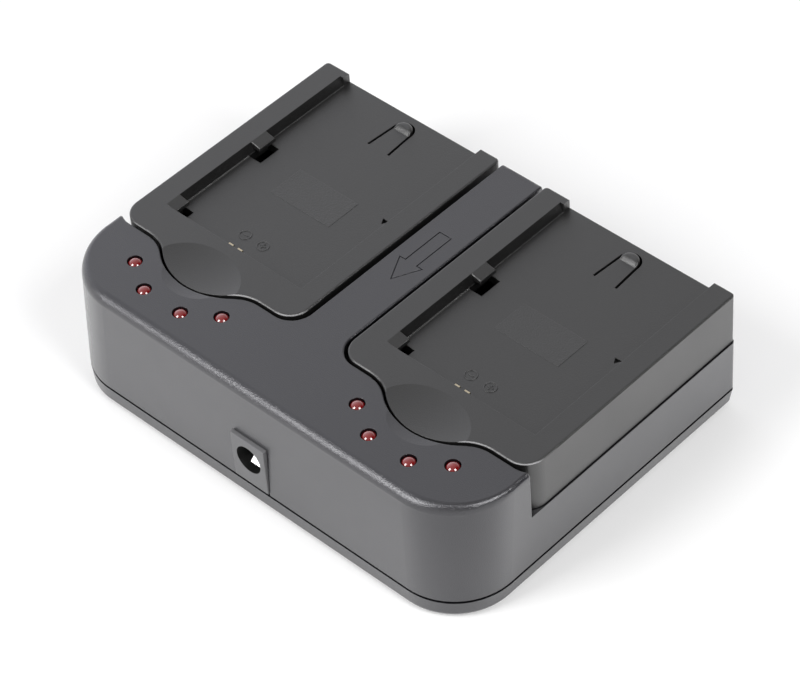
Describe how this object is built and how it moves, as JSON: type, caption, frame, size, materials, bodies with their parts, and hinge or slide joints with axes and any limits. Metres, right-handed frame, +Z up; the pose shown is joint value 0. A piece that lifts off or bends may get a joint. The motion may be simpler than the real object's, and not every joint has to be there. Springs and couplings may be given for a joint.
{
  "type": "camera battery charger",
  "caption": "Low rounded desktop charger with a lamp dock along the front and sliding adapter plates whose railed pockets take flat camera batteries.",
  "frame": {"origin": "centre of the bounding box, on the table under the feet", "axes": "+X along the front to the right-hand bay, +Y from the lamps and the power jack to the back, +Z up"},
  "size_m": [0.1084, 0.0798, 0.0298],
  "materials": {
    "case_plastic": "satin, finely textured, black",
    "plate_plastic": "satin, finely textured, black",
    "foot_rubber": "matt black",
    "steel": "plated",
    "board": "green board",
    "ribbon": "grey",
    "lamp_red": "tinted, clear, polished",
    "jack_plastic": "black",
    "bright_metal": "bright plated",
    "can": "plain can",
    "ferrite": "matt dark grey",
    "chip": "matt black",
    "gold": "gold plated"
  },
  "bodies": {
    "case": {"top_cover": "case_plastic", "bottom_cover": "case_plastic", "front_left_foot": "foot_rubber", "front_right_foot": "foot_rubber", "back_left_foot": "foot_rubber", "back_right_foot": "foot_rubber", "case_screws": "steel", "board_screws": "steel", "lamp_board_screws": "steel", "main_board": "board", "lamp_board": "board", "lamp_ribbon": "ribbon", "left_lamp_1": "lamp_red", "left_lamp_2": "lamp_red", "left_lamp_3": "lamp_red", "left_lamp_4": "lamp_red", "right_lamp_1": "lamp_red", "right_lamp_2": "lamp_red", "right_lamp_3": "lamp_red", "right_lamp_4": "lamp_red", "jack_housing": "jack_plastic", "jack_pin": "bright_metal", "jack_sleeve": "bright_metal", "left_capacitor": "can", "right_capacitor": "can", "left_coil": "ferrite", "right_coil": "ferrite", "left_chip": "chip", "right_chip": "chip", "left_spring_pins": "gold", "right_spring_pins": "gold"},
    "left_adapter": {"left_plate": "plate_plastic", "left_plate_base": "plate_plastic", "left_plate_screws": "steel", "left_negative_contact": "gold", "left_positive_contact": "gold"},
    "right_adapter": {"right_plate": "plate_plastic", "right_plate_base": "plate_plastic", "right_plate_screws": "steel", "right_negative_contact": "gold", "right_positive_contact": "gold"}
  },
  "joints": [
    {"name": "left_plate_slide", "type": "slide", "parent": "case", "child": "left_adapter", "axis": [0, 1, 0], "range_m": [0, 0.007]},
    {"name": "right_plate_slide", "type": "slide", "parent": "case", "child": "right_adapter", "axis": [0, 1, 0], "range_m": [0, 0.007]}
  ]
}
